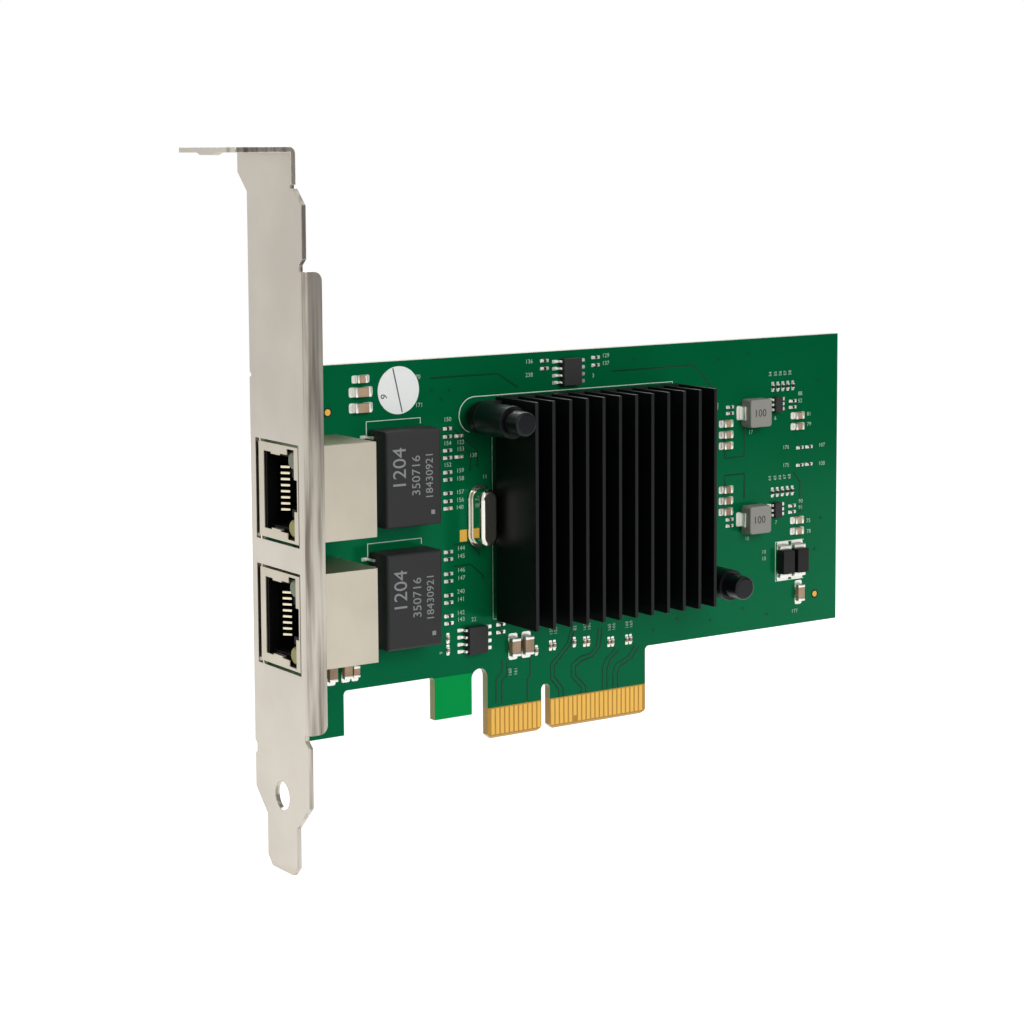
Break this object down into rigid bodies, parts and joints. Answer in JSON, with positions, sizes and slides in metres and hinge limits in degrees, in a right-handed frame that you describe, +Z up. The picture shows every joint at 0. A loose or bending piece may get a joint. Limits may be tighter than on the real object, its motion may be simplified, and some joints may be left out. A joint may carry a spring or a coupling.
{
  "type": "network interface card",
  "caption": "Expansion card with network sockets, a finned cooler on push pins, line transformers and a full-height folded mounting bracket.",
  "frame": {"origin": "slot reference: middle of the key notch, half way through the board, at the lower end of the edge contacts", "axes": "+X along the card from its bracket to its rear edge, +Y from the component side to the solder side, +Z up from the slot to the bracket's tab"},
  "size_m": [0.139, 0.022, 0.12],
  "materials": {
    "pcb": "green solder mask",
    "gold": "gold plating",
    "bracket": "nickel plated, satin",
    "screw": "zinc plated",
    "shield": "tin plated, satin",
    "black_plastic": "moulded",
    "lamp_green": "clear moulded",
    "lamp_yellow": "clear moulded",
    "heatsink": "black anodised",
    "pin_plastic": "moulded nylon",
    "chip_package": "moulded",
    "thermal_pad": "soft",
    "solder": "tinned",
    "coil": "moulded powder",
    "capacitor": "ceramic",
    "resistor": "ceramic",
    "crystal": "polished",
    "label": "matt"
  },
  "bodies": {
    "root": {"pcb": "pcb", "edge_contacts": "gold", "bracket": "bracket", "bracket_screws": "screw", "jack_shields": "shield", "jack_housings": "black_plastic", "jack_link_lamps": "lamp_green", "jack_activity_lamps": "lamp_yellow", "jack_contacts": "gold", "jack_pin_tails": "solder", "line_transformers": "chip_package", "transformer_leads": "solder", "small_outline_chips": "chip_package", "small_outline_leads": "solder", "controller_chip": "chip_package", "thermal_pad": "thermal_pad", "heatsink": "heatsink", "push_pin_sleeves": "pin_plastic", "push_pin_plungers": "pin_plastic", "crystal_base": "crystal", "crystal_can": "crystal", "power_coils": "coil", "coil_terminals": "solder", "regulators": "chip_package", "regulator_leads": "solder", "diodes": "chip_package", "diode_terminals": "solder", "chip_capacitors": "capacitor", "chip_resistors": "resistor", "chip_terminals": "solder", "inspection_label": "label", "gold_pads": "gold"}
  },
  "joints": []
}
